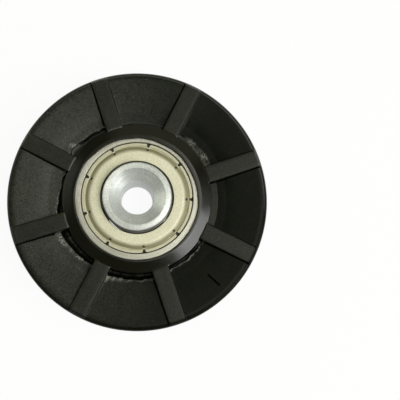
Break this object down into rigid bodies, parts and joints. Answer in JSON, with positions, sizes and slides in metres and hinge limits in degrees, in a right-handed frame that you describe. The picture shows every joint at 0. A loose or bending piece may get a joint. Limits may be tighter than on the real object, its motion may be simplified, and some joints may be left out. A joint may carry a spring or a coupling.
{
  "type": "v groove wheel",
  "caption": "Moulded nylon rope wheel with a deep rounded V groove, ribbed dished faces, a shielded ball bearing pressed into its hub, and a countersunk bush for a bolt.",
  "frame": {"origin": "on the wheel's axis, in the middle plane of the groove", "axes": "+Z along the wheel's axis, out of the countersunk front face; +X to the right and +Y up as the front face is seen"},
  "size_m": [0.05, 0.05, 0.011],
  "materials": {
    "wheel_nylon": "black moulded nylon, satin faces, smoother and glossier in the groove",
    "ring_steel": "ground bearing steel with circular marks",
    "inner_ring_steel": "ground bearing steel",
    "shield_plate": "pressed zinc plated sheet, pale straw tint",
    "cage_strip": "pressed steel strip",
    "bush_steel": "zinc plated turned steel with turning marks",
    "ball_steel": "polished bearing steel"
  },
  "bodies": {
    "axle": {"bush": "bush_steel", "bearing_inner_ring": "inner_ring_steel"},
    "wheel": {"wheel_body": "wheel_nylon", "bearing_outer_ring": "ring_steel", "shield_front": "shield_plate", "shield_rear": "shield_plate"},
    "cage": {"cage_front": "cage_strip", "cage_rear": "cage_strip", "cage_rivets": "cage_strip"},
    "ball_body_1": {"ball_1": "ball_steel"},
    "ball_body_2": {"ball_2": "ball_steel"},
    "ball_body_3": {"ball_3": "ball_steel"},
    "ball_body_4": {"ball_4": "ball_steel"},
    "ball_body_5": {"ball_5": "ball_steel"},
    "ball_body_6": {"ball_6": "ball_steel"},
    "ball_body_7": {"ball_7": "ball_steel"}
  },
  "joints": [
    {"name": "wheel_spin", "type": "hinge", "parent": "axle", "child": "wheel", "pos_m": [0, 0, 0], "axis": [0, 0, 1], "continuous": true},
    {"name": "cage_spin", "type": "hinge", "parent": "axle", "child": "cage", "pos_m": [0, 0, 0.0005], "axis": [0, 0, 1], "continuous": true},
    {"name": "ball_1_roll", "type": "hinge", "parent": "cage", "child": "ball_body_1", "pos_m": [0.00825, 0, 0.0005], "axis": [0, 0, 1], "continuous": true},
    {"name": "ball_2_roll", "type": "hinge", "parent": "cage", "child": "ball_body_2", "pos_m": [0.00514, 0.00645, 0.0005], "axis": [0, 0, 1], "continuous": true},
    {"name": "ball_3_roll", "type": "hinge", "parent": "cage", "child": "ball_body_3", "pos_m": [-0.00184, 0.00804, 0.0005], "axis": [0, 0, 1], "continuous": true},
    {"name": "ball_4_roll", "type": "hinge", "parent": "cage", "child": "ball_body_4", "pos_m": [-0.00743, 0.00358, 0.0005], "axis": [0, 0, 1], "continuous": true},
    {"name": "ball_5_roll", "type": "hinge", "parent": "cage", "child": "ball_body_5", "pos_m": [-0.00743, -0.00358, 0.0005], "axis": [0, 0, 1], "continuous": true},
    {"name": "ball_6_roll", "type": "hinge", "parent": "cage", "child": "ball_body_6", "pos_m": [-0.00184, -0.00804, 0.0005], "axis": [0, 0, 1], "continuous": true},
    {"name": "ball_7_roll", "type": "hinge", "parent": "cage", "child": "ball_body_7", "pos_m": [0.00514, -0.00645, 0.0005], "axis": [0, 0, 1], "continuous": true}
  ],
  "couplings": [
    {"joint": "cage_spin", "follows": "wheel_spin", "ratio": 0.6203},
    {"joint": "ball_1_roll", "follows": "wheel_spin", "ratio": 1.9578},
    {"joint": "ball_2_roll", "follows": "wheel_spin", "ratio": 1.9578},
    {"joint": "ball_3_roll", "follows": "wheel_spin", "ratio": 1.9578},
    {"joint": "ball_4_roll", "follows": "wheel_spin", "ratio": 1.9578},
    {"joint": "ball_5_roll", "follows": "wheel_spin", "ratio": 1.9578},
    {"joint": "ball_6_roll", "follows": "wheel_spin", "ratio": 1.9578},
    {"joint": "ball_7_roll", "follows": "wheel_spin", "ratio": 1.9578}
  ]
}
